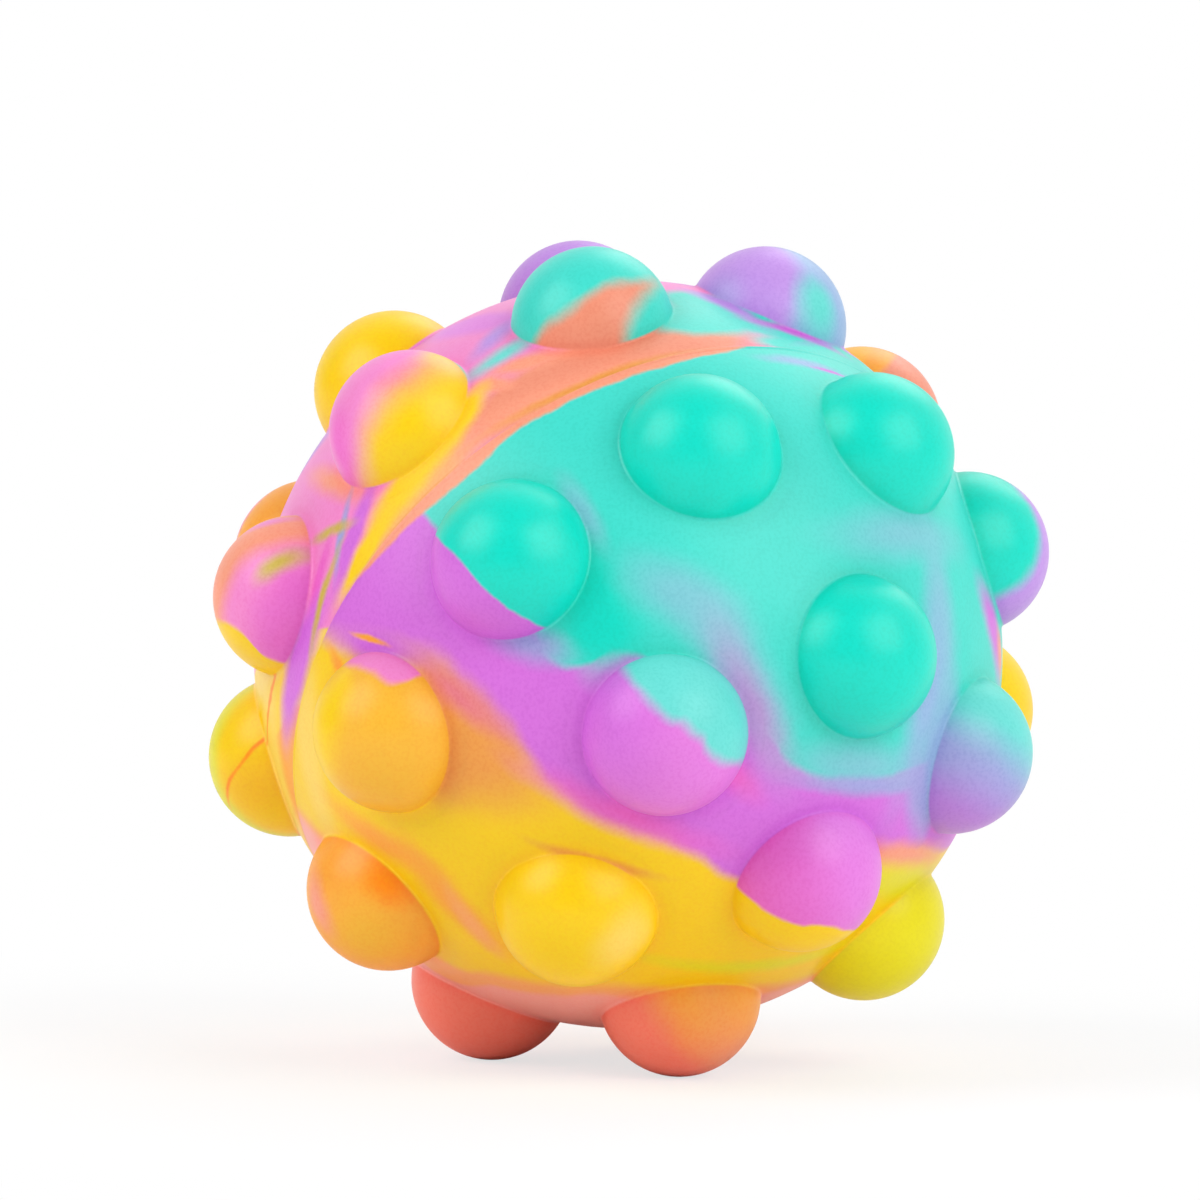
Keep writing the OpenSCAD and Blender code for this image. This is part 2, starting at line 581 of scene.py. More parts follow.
DYES = {name: linear(code) for name, code in {
    "teal": "08dcc6",
    "mint": "46dacb",
    "aqua": "6cdcd4",
    "orchid": "d772dd",
    "lilac": "e480de",
    "fuchsia": "e871cf",
    "mauve": "c396e4",
    "violet": "be88de",
    "heather": "bc98d2",
    "lavender": "a4a5db",
    "periwinkle": "98b6dc",
    "sky": "80c9d4",
    "pink": "f38ccd",
    "magenta": "ee6cca",
    "rose": "e8808c",
    "coral": "ff8875",
    "salmon": "ee9478",
    "blush": "ffb0a6",
    "peach": "f8a082",
    "apricot": "fcb06c",
    "orange": "fbab40",
    "flame": "ff9414",
    "amber": "f7bb3c",
    "gold": "f6c004",
    "ochre": "eea04c",
    "yellow": "fad108",
    "straw": "fad660",
    "olive": "cfb652",
    "lime": "e8de04",
}.items()}
print(len(DYES), "dyes")

# %% [markdown]
# The front half: teal at the top with a tongue that runs down on the right, an orchid sweep below
# it, then ochre and yellow, and coral underneath. Lavender lies where teal and orchid ran together.
# An image could hold all this, but words keep it editable. A pour is a streak from a start to an
# end, with a width in millimetres and an edge from hard, 0, to soft, 1. A bank is a whole side: its
# dye lies to the left of a line through the places, and its edge is in millimetres.

# %% Dye on the front half
Pour = namedtuple("Pour", "dye start end width edge")
Bank = namedtuple("Bank", "dye edge places")
FRONT_BASE = "yellow"
FRONT_DYES = [
    Pour("coral", "front_outer_bubble_5", "front_outer_bubble_4", 6, 0.5),
    Pour("lime", "front_outer_bubble_6", "front_inner_bubble_4", 6, 0.5),
    Pour("orange", "front_outer_bubble_5", "front_inner_bubble_3", 3, 0.6),
    Bank("apricot", 1.5, [
        (13, -24.3), (9.8, -24.8), (0, -24.9), (-5, -24.8), (-10, -23.9), (-14, -22.9), (-19.5, -19.8)]),
    Bank("blush", 1.2, [
        (14, -24.6), (10.4, -25.3), (-2, -25.5), (-5, -25.6), (-10, -24.8), (-14.6, -23.7), (-19.5, -21)]),
    Pour("straw", (-24, 0), (-22.5, -13), 1.6, 0.6),
    Pour("ochre", (-15.5, -1), (-7, -10.5), 4.6, 0.6),
    # This ochre streak along the right side of front_outer_bubble_2 is partly dye and partly painted
    # shade, where that bubble shades the shell.
    Pour("ochre", (-13, -5), (-13.6, -11), 2.0, 0.8),
    Pour("yellow", (-13, -14.3), (0, -15), 2.6, 0.7),
    Bank("orchid", 1.7, [
        (-24, 1.5), (-20, 1), (-15.4, 0), (-12.2, -2.3), (-9, -5.4), (-6.5, -8), (-4, -9.4),
        (4, -9), (24, -5)]),
    Bank("orchid", 0.7, [
        (-24, 9), (-16, 4), (-10, -2), (-7.4, -7), (-5, -9.9), (-2.1, -11.6), (1.6, -13.2), (5.2, -14.8),
        (7.6, -16.6), (13, -17), (19.6, -15), (22, -14.7), (24, -14.4)]),
    Pour("rose", (-15.4, -0.6), (-9.6, -5.6), 0.9, 0.95),
    Pour("magenta", (-6, -9.4), (5, -14), 1.0, 0.95),
    Pour("fuchsia", (7.8, -8.4), (9.6, -10.6), 0.9, 0.95),
    Bank("mint", 0.45, [
        (-16, 12), (-14.4, 9), (-12.5, 7), (-11, 5), (-9, 3.3), (-7.2, 1.6), (-5.5, -0.5), (-3, -0.7),
        (-1, 0.3), (3, -1), (6, -2.2), (9, -4), (11, -6.6), (13, -8.6), (16.5, -9.3), (20, -8.8),
        (23, -7.6), (27, -6)]),
    Pour("teal", (-2.4, 8.2), (-2.6, -0.4), 1.7, 0.7),
    Pour("teal", (-4.4, 3.4), (0.6, 0.6), 2.0, 0.7),
    Pour("sky", (0.8, 6.3), (8.5, 1.6), 1.9, 0.9),
    Pour("sky", (5, 3.8), (11.2, -5), 1.9, 0.8),
    Pour("heather", (7.4, 0.6), (11.2, -8.4), 1.5, 0.95),
    Pour("sky", (13.4, -8), (21, -8.4), 1.4, 0.95),
    Pour("lavender", (14, -9.6), (21.6, -9.6), 0.6, 0.95),
    Pour("sky", (16.5, 9), (24, 8.6), 1.7, 0.95),
    Pour("sky", (22.4, 9), (23.6, -5), 1.5, 0.9),
    Pour("periwinkle", (23.1, 3), (21, -9), 1.7, 0.95),
    Pour("sky", (-4.6, 12.8), (-2.2, 8.6), 0.8, 0.9),
    Pour("lavender", (-10, 1.4), (-5, 0.2), 1.1, 0.9),
    Pour("periwinkle", (10.6, 22.2), (15.4, 21.2), 0.5, 0.9),
    Pour("orchid", (13.8, 21.5), (16.2, 20.8), 0.16, 0.8),
    Pour("periwinkle", (24.2, -3), (22, -9.5), 1.3, 0.95),
    Pour("lavender", (21.6, -8.4), (21.8, -13), 1.2, 0.95),
    Pour("periwinkle", (22.9, -6), (22.3, -12.8), 0.9, 0.95),
    Pour("orchid", (26.5, 4.8), (27.8, -1.4), 1.5, 0.7),
    Pour("peach", (27.7, 1.4), (27.9, -1.6), 1.0, 0.8),
    Pour("orange", (-21.8, -11.4), (-15, -16), 1.1, 0.8),
    Pour("orange", (-16.5, -14.6), (-9.6, -21.8), 1.3, 0.8),
    Pour("apricot", (-13.2, -18), (-10, -22), 0.7, 0.9),
    Pour("ochre", (-6, -14.4), (1.5, -16.4), 0.4, 0.9),
    Pour("lime", (2, -23), (16, -21.8), 0.7, 0.95),
    Pour("peach", (18.4, -16.2), (23, -15), 1.1, 0.8),
    Pour("lime", (18, -18.6), (23.5, -17), 1.5, 0.7),
    Pour("orchid", (-22, 1.6), (-16, -0.2), 1.3, 0.8),
    Pour("orange", (-22.3, 0.4), (-22.8, -2.6), 0.5, 0.7),
    Pour("orange", (-20.6, 1.5), (-18.2, 0.7), 0.22, 0.6),
    Bank("peach", 0.25, [
        (-15.4, 10.6), (-12, 13.4), (-8, 16.9), (-4, 19.2), (0, 20.8), (4, 22), (9, 23.2), (10, 25)]),
]
print(len(FRONT_DYES), "dyes laid on the front half")

# %% [markdown]
# The rear half was poured by itself, so its colours stop at the seam. Most of it is on the far side
# of the ball, where the dyes go on in the same way: yellow and orange low down, orchid above, and
# mint that ran in from one side. It could be left plain, but the ball is looked at from all round.

# %% Dye on the far side of the rear half
REAR_BASE = "pink"
FAR_DYES = [
    Bank("straw", 0.8, [
        Far(20, -16), Far(12, -14), Far(6, -11.5), Far(1, -9), Far(-5, -9.5), Far(-10, -6), Far(-14, -5),
        Far(-20, -6.5), Far(-26, -5)]),
    Bank("yellow", 1.4, [
        Far(18, -18), Far(8, -14.5), Far(0, -11.5), Far(-8, -11), Far(-14, -8), Far(-20, -9.5),
        Far(-26, -8)]),
    Bank("orange", 0.8, [
        Far(14, -21), Far(6, -17), Far(0, -18.5), Far(-7, -18), Far(-12, -13), Far(-18, -12),
        Far(-23, -14)]),
    Pour("salmon", Far(-10, -15.4), Far(-20, -11.6), 0.6, 0.8),
    Pour("orchid", Far(-22, 11), Far(-2, 13), 4.2, 0.35),
    Pour("orchid", Far(-6, 13), Far(12, 16.5), 3.4, 0.4),
    Pour("mauve", Far(-18, 9.5), Far(-4, 10.6), 1.0, 0.8),
    Pour("magenta", Far(-20, 14.6), Far(-4, 16), 0.7, 0.8),
    Pour("amber", Far(-6, 22), Far(12, 21.5), 2.6, 0.5),
    Pour("peach", Far(4, 23.6), Far(14, 20), 0.9, 0.8),
    Pour("orchid", "rear_outer_bubble_9", "rear_inner_bubble_6", 4, 0.5),
    Bank("mint", 0.5, [
        Far(21.5, 12.5), Far(17.5, 11.4), Far(12, 11.6), Far(7, 9.8), Far(4.6, 7.4), Far(2.6, 4.4),
        Far(4, 1.6), Far(3, -1.2), Far(6, -3.2), Far(11, -3.4), Far(14, -6.6), Far(19, -8.6)]),
    Pour("mint", Far(5.6, 0.4), Far(-11, -2), 1.8, 0.4),
    Pour("mint", Far(-8, -2.2), Far(-14.5, 5.4), 0.9, 0.6),
    Pour("sky", Far(14, 10), Far(5, 3.6), 1.0, 0.9),
    Pour("sky", Far(4, -2.4), Far(-9, -3.8), 0.8, 0.9),
    Pour("lavender", Far(15, 1), Far(12, -3.6), 1.2, 0.9),
    Pour("olive", Far(4, -8.6), Far(-7, -7.4), 0.4, 0.8),
    Pour("magenta", Far(12, -10.4), Far(2, -5.4), 0.7, 0.8),
    Pour("peach", Far(-22, 1.6), Far(-12, -3.6), 0.7, 0.8),
    Pour("yellow", Far(-24, -1), Far(-18, -3.8), 0.8, 0.7),
]
print(len(FAR_DYES), "dyes laid on the far side")

# %% [markdown]
# On the near side, peach and yellow streaks run along the seam, with pink and orchid beyond them, and
# thin olive and lavender threads where they crossed. They are laid after the far ones, because a
# later dye covers an earlier one.

# %% Dye along the seam of the rear half
SEAM_DYES = [
    Pour("lilac", (-15.5, 23.4), (-8, 27), 1.8, 0.5),
    Pour("apricot", (-11, 16.6), (-20, 7), 2.2, 0.5),
    Pour("salmon", (-12.6, 16), (9.6, 23.6), 3.2, 0.2),
    Pour("peach", (-12, 15.8), (2, 21.6), 1.5, 0.9),
    Pour("ochre", (-9, 17.4), (3.5, 22.4), 0.4, 0.9),
    Pour("mint", (1, 27.2), (10, 24.8), 2.5, 0.3),
    Pour("mint", (7, 25.4), (18, 21.3), 2.5, 0.3),
    Pour("mint", (5.5, 26.4), (15, 22.8), 3.2, 0.3),
    Pour("mint", (9.6, 23.6), (17.4, 21.1), 1.2, 0.3),
    Pour("mint", (3.6, 26.6), (6.2, 26.2), 2.6, 0.4),
    Pour("peach", (-11.4, 20), (-8.6, 20.2), 0.8, 0.6),
    Pour("peach", (-10.4, 20.8), (-4.6, 23), 1.0, 0.7),
    Pour("mauve", (-8.8, 24.8), (-11.4, 22.4), 0.9, 0.9),
    Pour("aqua", (-7.6, 25), (-11.8, 20.8), 0.8, 0.95),
    Pour("mauve", (4.6, 27.2), (9.8, 24.8), 1.0, 0.7),
    Pour("orchid", (9.4, 25), (15.4, 22.8), 0.7, 0.7),
    Pour("mauve", (14, 23.4), (18.5, 21.2), 0.5, 0.8),
    Pour("yellow", (-10.9, 20), (-14, 15), 1.2, 0.5),
    Pour("yellow", (-13, 16.5), (-19, 9.5), 1.5, 0.5),
    Pour("yellow", (-17.5, 11), (-21.7, 4), 0.9, 0.5),
    Pour("mauve", (-22.5, 16.5), (-26.5, 10.5), 1.8, 0.5),
    Pour("peach", (-23.5, 13.6), (-19.8, 12), 0.9, 0.9),
    Pour("orchid", (-19.6, 13), (-21.9, 4.6), 0.8, 0.5),
    Pour("lavender", (-20.9, 11.6), (-22, 6), 0.35, 0.7),
    Pour("olive", (-20.9, 9.8), (-23.3, 8.7), 0.5, 0.8),
    Pour("magenta", (-22.4, 8.4), (-23.6, 3), 0.5, 0.7),
    Pour("straw", (-27, -2), (-24, -16), 2.4, 0.4),
    Pour("orchid", (-22.6, 4.4), (-25.7, -6), 1.5, 0.5),
    Pour("olive", (-21.8, 7.6), (-23.7, 0.3), 0.35, 0.8),
    Pour("flame", (-27.3, -1), (-27.1, -6.8), 0.2, 0.6),
]
REAR_DYES = FAR_DYES + SEAM_DYES
print(len(REAR_DYES), "dyes laid on the rear half")

# %% [markdown]
# A bubble takes one main dye. Over it lie the dyes that ran into it, sharp
# where a pour stopped and soft where two of them mixed. The half's own dyes could simply run on over
# the bubbles, but on the real ball most bubbles were filled by themselves, and their colour stops
# at the foot.

# %% Dye on the front bubbles
FRONT_BUBBLE_DYES = {
    "front_centre_bubble": ("orchid", [
        Bank("fuchsia", 1.0, [(0, -30), (30, -30)]),
        # The lilac on this bubble's right side is a painted highlight over the fuchsia.
        Bank("lilac", 3.0, [(13, -12), (15, -21)]),
        Bank("magenta", 2.5, [(11.5, -20.5), (10.5, -16), (13, -11.6)]),
        Bank("yellow", 0.25, [(18.4, -20), (15.8, -20.6), (12.8, -20.3), (10, -19), (8.1, -17.2)]),
    ]),
    "front_inner_bubble_1": ("orchid", [
        Bank("lilac", 3.0, [(2, -3), (-1, -12)]),
        Bank("aqua", 0.6, [
            (-1, -0.6), (-0.3, -1.3), (0.6, -2.6), (2, -3.8), (3, -4.7), (4.1, -5), (4.8, -5.7),
            (5.4, -6.1), (5.7, -6.9), (6.4, -7.4), (8.4, -7.9)]),
    ]),
    "front_inner_bubble_2": ("yellow", [Pour("straw", (-1.5, -23), (1.2, -19), 1.4, 0.9)]),
    "front_inner_bubble_3": ("coral", [
        Bank("orange", 2.4, [(-2, -25.2), (3, -27.2), (10, -30)]),
        Pour("peach", (6.6, -28.8), (9.2, -28.6), 1.8, 0.95),
    ]),
    "front_inner_bubble_4": ("lime", []),
    "front_inner_bubble_5": ("teal", [
        Bank("aqua", 3.0, [(31, -6), (24, 0)]),
        Bank("lavender", 2.8, [(30.5, -9.5), (27, -6.4), (24, -3.4)]),
        Bank("violet", 2.6, [(30, -12.5), (23, -9)]),
    ]),
    "front_inner_bubble_6": ("teal", []),
    "front_outer_bubble_1": ("teal", [
        Bank("orchid", 0.15, [(-5.3, 1.9), (-7, 2.3), (-9, 3.3), (-11, 5), (-12.5, 7), (-14.4, 9)]),
    ]),
    "front_outer_bubble_2": ("amber", [
        Bank("yellow", 1.4, [(-21.4, -12), (-21.8, -6), (-21, -1)]),
        Bank("pink", 0.35, [(-21.6, -0.6), (-19.6, -1.3), (-17.3, -2.2), (-16, -1.8), (-14.4, -1.2)]),
    ]),
    "front_outer_bubble_3": ("orange", [
        Pour("amber", (-22, -19.5), (-17, -21.5), 2.4, 0.9),
        Pour("flame", (-19, -15.6), (-16, -18), 0.7, 0.95),
        Pour("peach", (-23.6, -16.5), (-22.5, -20.5), 0.9, 0.8),
    ]),
    "front_outer_bubble_4": ("coral", []),
    "front_outer_bubble_5": ("yellow", [
        Pour("salmon", Far(-1.5, -25.6), Far(3, -27.2), 2.4, 0.4),
    ]),
    "front_outer_bubble_6": ("lime", [
        Pour("orange", Far(12.4, -20), Far(19, -20.2), 1.8, 0.4),
    ]),
    "front_outer_bubble_7": ("yellow", []),
    "front_outer_bubble_8": ("teal", [
        Bank("mauve", 1.5, [
            (29.5, 11.6), (30.4, 10.2), (30.75, 8.2), (30.1, 6), (28.8, 4.7), (26.9, 3.9)]),
    ]),
    "front_outer_bubble_9": ("teal", []),
    "front_outer_bubble_10": ("teal", []),
}
print(sum(len(laid) for _, laid in FRONT_BUBBLE_DYES.values()), "dyes laid over the front bubbles")

# %% [markdown]
# The rear bubbles were filled in the same way. Those behind the ball have two or three dyes too, and
# their places are far ones, which a bubble's own material reads just as well.

# %% Dye on the rear bubbles
REAR_BUBBLE_DYES = {
    "rear_centre_bubble": ("lavender", [
        Pour("orchid", Far(-18, 16), Far(-10, 20), 2.6, 0.3),
        Pour("sky", Far(-13, 13.4), Far(-8.6, 16), 1.0, 0.9),
    ]),
    "rear_inner_bubble_1": ("yellow", []),
    "rear_inner_bubble_2": ("orange", [
        Pour("pink", Far(-24, 11.4), Far(-25.5, 5), 2.4, 0.3),
        Pour("flame", Far(-22, 9), Far(-22.8, 4), 1.0, 0.9),
    ]),
    "rear_inner_bubble_3": ("pink", [
        Pour("yellow", Far(-21.5, -3.6), Far(-13, -4.6), 2.6, 0.2),
        Pour("magenta", Far(-20, 2.6), Far(-14.6, 3.6), 1.2, 0.9),
    ]),
    "rear_inner_bubble_4": ("teal", [
        Pour("mauve", Far(-7.6, 9), Far(1.6, 11), 2.4, 0.25),
    ]),
    "rear_inner_bubble_5": ("amber", [
        Pour("yellow", Far(1, 20.6), Far(5, 21.6), 2.0, 0.9),
        Pour("orchid", Far(-0.5, 15), Far(8.5, 15.6), 1.6, 0.25),
    ]),
    "rear_inner_bubble_6": ("orchid", [
        Bank("violet", 3.0, [(-20, 28), (10, 28)]),
    ]),
    "rear_outer_bubble_1": ("yellow", [
        # The peach streak along this bubble's upper left is a painted highlight on its pink side.
        Pour("peach", (-20, 18), (-14.6, 22), 1.6, 0.9),
        Bank("pink", 1.9, [
            (-20, 12.4), (-20, 15), (-19.6, 17.5), (-18.6, 19.8), (-16.4, 21.6), (-13, 22.1),
            (-11, 21.4)]),
        Pour("aqua", (-13.2, 22), (-11.7, 20.4), 0.25, 0.8),
        Pour("magenta", (-20.6, 13), (-22, 18), 1.2, 0.95),
    ]),
    "rear_outer_bubble_2": ("pink", [
        Bank("fuchsia", 2.0, [(-23, 9), (-26, 6), (-27, -1)]),
        Bank("peach", 1.6, [(-30.3, 2), (-30, 5), (-28.6, 7.2), (-26, 8.2), (-23.5, 8.8)]),
        Pour("pink", (-28.4, 9.3), (-25, 10.1), 0.5, 0.9),
        Pour("olive", (-27.4, 5.6), (-24.2, 7.6), 0.6, 0.9),
        Bank("yellow", 0.4, [(-25.4, -1.2), (-27.5, -0.1), (-29.2, 1.6), (-30.4, 2.2), (-31.4, 1.8)]),
    ]),
    "rear_outer_bubble_3": ("yellow", [
        Bank("lime", 1.6, [(-30.4, -11), (-30.4, -3)]),
        Pour("gold", (-26.8, -8), (-28.6, -11.5), 1.7, 0.8),
        Pour("flame", (-27.2, -5.5), (-29, -8.2), 0.14, 0.8),
        Pour("flame", (-28.9, -8), (-29.9, -11.2), 0.14, 0.8),
    ]),
    "rear_outer_bubble_4": ("coral", [
        Pour("orange", Far(-22.4, -13.4), Far(-16.4, -12), 2.2, 0.7),
    ]),
    "rear_outer_bubble_5": ("orange", [
        Pour("yellow", Far(-9, -12.2), Far(-2, -11.4), 2.2, 0.4),
        Pour("flame", Far(-7, -17.6), Far(-3, -18), 1.0, 0.9),
    ]),
    "rear_outer_bubble_6": ("pink", [
        Pour("aqua", Far(5, -3), Far(13, -4.4), 2.0, 0.2),
        Pour("magenta", Far(6, -9), Far(10, -9.6), 1.2, 0.9),
    ]),
    "rear_outer_bubble_7": ("teal", [
        Pour("aqua", Far(16, 8), Far(20, 7), 1.6, 0.9),
    ]),
    "rear_outer_bubble_8": ("orange", [
        Bank("amber", 1.4, [(20, 18.6), (19.6, 23)]),
        Bank("salmon", 0.9, [(21.4, 22.4), (21, 18.4)]),
    ]),
    "rear_outer_bubble_9": ("orchid", [
        Bank("mauve", 1.0, [(0, 20), (20, 20)]),
        Pour("lavender", (5.6, 27), (8, 24.8), 1.4, 0.9),
        Bank("periwinkle", 1.8, [(10.5, 31), (13, 28.6), (12.4, 26), (13, 22.5)]),
        Pour("aqua", (13, 27.4), (15, 24), 1.3, 0.8),
    ]),
    "rear_outer_bubble_10": ("teal", [
        Bank("mint", 1.0, [(-20, 20), (20, 20)]),
        Bank("salmon", 0.8, [(3, 27.2), (0.6, 28.3), (-1.6, 27.9), (-4, 26.3), (-6.3, 24.6), (-8, 23)]),
        Bank("mint", 0.9, [(1.6, 27.8), (0.8, 26.8), (0, 25), (-0.4, 22.5)]),
    ]),
}
BUBBLE_DYES = FRONT_BUBBLE_DYES | REAR_BUBBLE_DYES
print(sum(len(laid) for _, laid in REAR_BUBBLE_DYES.values()), "dyes laid over the rear bubbles")

# %% [markdown]
# To tell which side of a line a place is on, the ball has to be flat. Maps of the Earth do that in
# many ways. A stereographic peel from the far side lays out the near side with little stretch, and
# one from the near side does the same for the far side, so both are made. The first function
# peels one direction, and the second does the same in nodes, for every place that is shaded.

# %% Peeling the ball flat
NEAR_PEEL = 1
FAR_PEEL = -1


def peeled(way, side):
    """A direction as a place on the ball peeled flat, in mm."""
    return 2 * BALL_R * Vector((way.dot(RIGHT), way.dot(UP))) / (1 + side * way.dot(TOWARD))


def peel(place, side):
    """The same for the places of a shader."""
    spread = 2 * BALL_R / (BALL_R + side * place.measure("DOT_PRODUCT", TOWARD))
    return place.node("ShaderNodeCombineXYZ", None, {
        "X": spread * place.measure("DOT_PRODUCT", RIGHT),
        "Y": spread * place.measure("DOT_PRODUCT", UP),
    })


front_tip = peeled(AXES["front_centre_bubble"], NEAR_PEEL)
print("front_centre_bubble is peeled to", [round(value, 1) for value in front_tip], "mm")

# %% [markdown]
# A pour is a puddle or a streak that spread out in the mould. It could be painted on an image, but
# a shape in numbers stays sharp at any size. It is measured in its own frame, along the streak,
# across it and straight out of the ball, and divided there by its half length and its width, so
# that the ellipse becomes a plain distance. A Mapping node of the texture kind does this at once.

# %% Pours
POUR_DEPTH = 40.0


def pour_frame(pour):
    """A pour's middle direction, its half length, and its frame: along, across and out."""
    start, end = seen(pour.start), seen(pour.end)
    middle = (start + end).normalized()
    half_length = max(BALL_R * (end - start).length / 2, pour.width)
    along = (end - start).normalized()
    return middle, half_length, Matrix((along, middle.cross(along), middle)).transposed()


def pour_share(pour, place):
    """How much of a pour's dye there is at a place, from 0 to 1."""
    middle, half_length, axes = pour_frame(pour)
    local = place.node("ShaderNodeMapping", {"vector_type": "TEXTURE"}, {
        "Vector": place,
        "Location": BALL_R * middle,
        "Rotation": axes.to_euler(),
        "Scale": (half_length, pour.width, POUR_DEPTH),
    })
    return local.measure("LENGTH").step(1 + pour.edge, 1 - pour.edge)


print("the longest pour is", round(2 * max(
    pour_frame(dye)[1] for dye in FRONT_DYES + REAR_DYES if isinstance(dye, Pour))), "mm long")

# %% [markdown]
# A bank is where one dye stopped against another along a crooked line. Many small pours could
# follow such a line, but a curve does it with one node. On the peeled ball a frame lies along the
# line, from its first place to its last. A Float Curve gives the line's height for each distance
# along it, and what is higher than that lies on the dyed side.

# %% Banks
LINE_ROOM = 1


def bank_share(bank, flats):
    """How much of a bank's dye there is at a place on the peeled ball, from 0 to 1."""
    side = FAR_PEEL if isinstance(bank.places[0], Far) else NEAR_PEEL
    flat = flats[side]
    places = [peeled(seen(place), side) for place in bank.places]
    chord = places[-1] - places[0]
    along = chord.normalized()
    left = Vector((-along.y, along.x))
    local = flat.node("ShaderNodeMapping", {"vector_type": "TEXTURE"}, {
        "Vector": flat,
        "Location": (*places[0], 0),
        "Rotation": (0, 0, atan2(along.y, along.x)),
        "Scale": (chord.length, 1, 1),
    })
    distance = local.node("ShaderNodeSeparateXYZ", None, {"Vector": local}, "X")
    line = [((p - places[0]).dot(along) / chord.length, (p - places[0]).dot(left)) for p in places]
    low = min(y for _, y in line) - LINE_ROOM
    span = max(y for _, y in line) + LINE_ROOM - low
    settings = {"line": [(x, (y - low) / span) for x, y in line]}
    curve = distance.node("ShaderNodeFloatCurve", settings, {"Value": distance})
    above = distance.also("Y") - (curve * span + low)
    return above.step(-bank.edge, bank.edge)


print(sum(isinstance(dye, Bank) for dye in FRONT_DYES + REAR_DYES), "banks on the two halves")

# %% [markdown]
# The real dyes went into the mould one after the other, so they are laid on in order, each over the
# last. Liquid never stops on a clean line either, so before the dye is looked up, each place is
# moved a little by two noises, a slow one and a quick one. Noise on the finished colours would only
# dirty them; this way the edges wander. A bubble's foot shares the dyes of its half, but only
# those that come near it, which keeps its material small.

# %% Laying on the dye
REACH_OF_FOOT = 9.0
WANDERS = [(0.1, 1.2, 2), (0.6, 0.5, 3)]
NOISE_MIDDLE = (0.5, 0.5, 0.5)


def wandered(ball):
    """Places on the ball, moved by each noise of a scale, a reach in mm and a detail."""
    place = ball
    for scale, reach, detail in WANDERS:
        inputs = {"Vector": ball, "Scale": scale, "Detail": detail}
        swirl = ball.node("ShaderNodeTexNoise", None, inputs, "Color")
        shift = swirl.vector("SUBTRACT", NOISE_MIDDLE).vector("SCALE", Scale=reach)
        place = place.vector("ADD", shift)
    return place


def reaches(dye, bubble):
    """Whether a dye on a half may come near a bubble's foot."""
    if isinstance(dye, Bank):
        return True
    middle, half_length, _ = pour_frame(dye)
    return BALL_R * middle.angle(AXES[bubble]) < half_length * (1 + dye.edge) + REACH_OF_FOOT


def laid_on(base, dyes, place, flats):
    """The colour of a base with dyes laid over it in order."""
    colour = DYES[base]
    for dye in dyes:
        share = pour_share(dye, place) if isinstance(dye, Pour) else bank_share(dye, flats)
        colour = share.between(colour, DYES[dye.dye])
    return colour


HALF_DYES = {"front": (FRONT_BASE, FRONT_DYES), "rear": (REAR_BASE, REAR_DYES)}
FOOT_DYES = {name: [dye for dye in HALF_DYES[half_of(name)][1] if reaches(dye, name)] for name in AXES}
print("a bubble's foot has up to", max(len(dyes) for dyes in FOOT_DYES.values()), "dyes")

# %% [markdown]
# Where a bubble leaves the ball, its own dye takes over from the half's. In the tight crease round
# it the rubber is in shade, light goes back and forth between the walls, and the colour looks
# deeper. That shade is painted into the colour here. Ambient occlusion could find creases, but it is
# slow, and it changes when a bubble is pressed. The distance from the bubble's axis says as well where
# the crease is, and a colour times itself is a deeper one, which stands for the painted shade.

# %% Colour of a bubble, with painted shade in its crease
CROWN_FROM = (28.05, 28.25)
CREASE_SHADE_ACROSS = (7.1, 6.2)
CREASE_SHADE_UP = (28.9, 28.1)
CREASE_SHADE_DEPTH = 0.22


def deepened(colour, share):
    """A colour with a share of its deeper self."""
    return share.between(colour, colour.vector("MULTIPLY", colour))


def bubble_colour(bubble, cast, ball, place, flats):
    """The half's dyes at a bubble's foot, its own dyes above, and painted shade in the crease between
    them.
    """
    foot = laid_on(HALF_DYES[half_of(bubble)][0], FOOT_DYES[bubble], place, flats)
    crown = laid_on(*BUBBLE_DYES[bubble], place, flats)
    rise = cast.measure("LENGTH")
    colour = rise.step(*CROWN_FROM).between(foot, crown)
    from_axis = ball.vector("CROSS_PRODUCT", AXES[bubble]).measure("LENGTH")
    # The crease mask: shade is painted into the colour where the foot folds up into the dome.
    crease = from_axis.step(*CREASE_SHADE_ACROSS) * rise.step(*CREASE_SHADE_UP)
    return deepened(colour, crease * CREASE_SHADE_DEPTH)


print("a bubble takes its own dye from", CROWN_FROM[0], "to", CROWN_FROM[1], "mm from the centre")

# %% [markdown]
# Moulded silicone is satin. It has a soft sheen, shallow dents, a fine grain of pigment, and a
# little light that goes in and comes out again beside where it went in. A scanned texture could
# give the grain, but two noises on the rubber's own places need no image and stay with the rubber.
# The dents turn the gloss up and down, the grain deepens the dye in spots, and both bend the light.

# %% Silicone
GRAIN_SCALE = 4.0
GRAIN_SPOTS = (0.4, 0.7)
GRAIN_DEPTH = 0.16
GRAIN_HEIGHT = 0.2
DENT_SCALE = 0.25
NOISE_DETAIL = 2
BUMP_STRENGTH = 0.12
BUMP_HEIGHT = 0.0003
GLOSS = 0.31
GLOSS_WANDER = 0.14
SILICONE_IOR = 1.4
GLOW_SHARE = 0.15
GLOW_REACH = 0.0012


def new_tree(material):
    """A material's tree, emptied, and a new output node in it."""
    material.use_nodes = True
    tree = material.node_tree
    tree.nodes.clear()
    return tree, tree.nodes.new("ShaderNodeOutputMaterial")


def speckle(cast, scale):
    """Noise in the rubber, from 0 to 1."""
    inputs = {"Vector": cast, "Scale": scale, "Detail": NOISE_DETAIL}
    return cast.node("ShaderNodeTexNoise", None, inputs, "Fac")


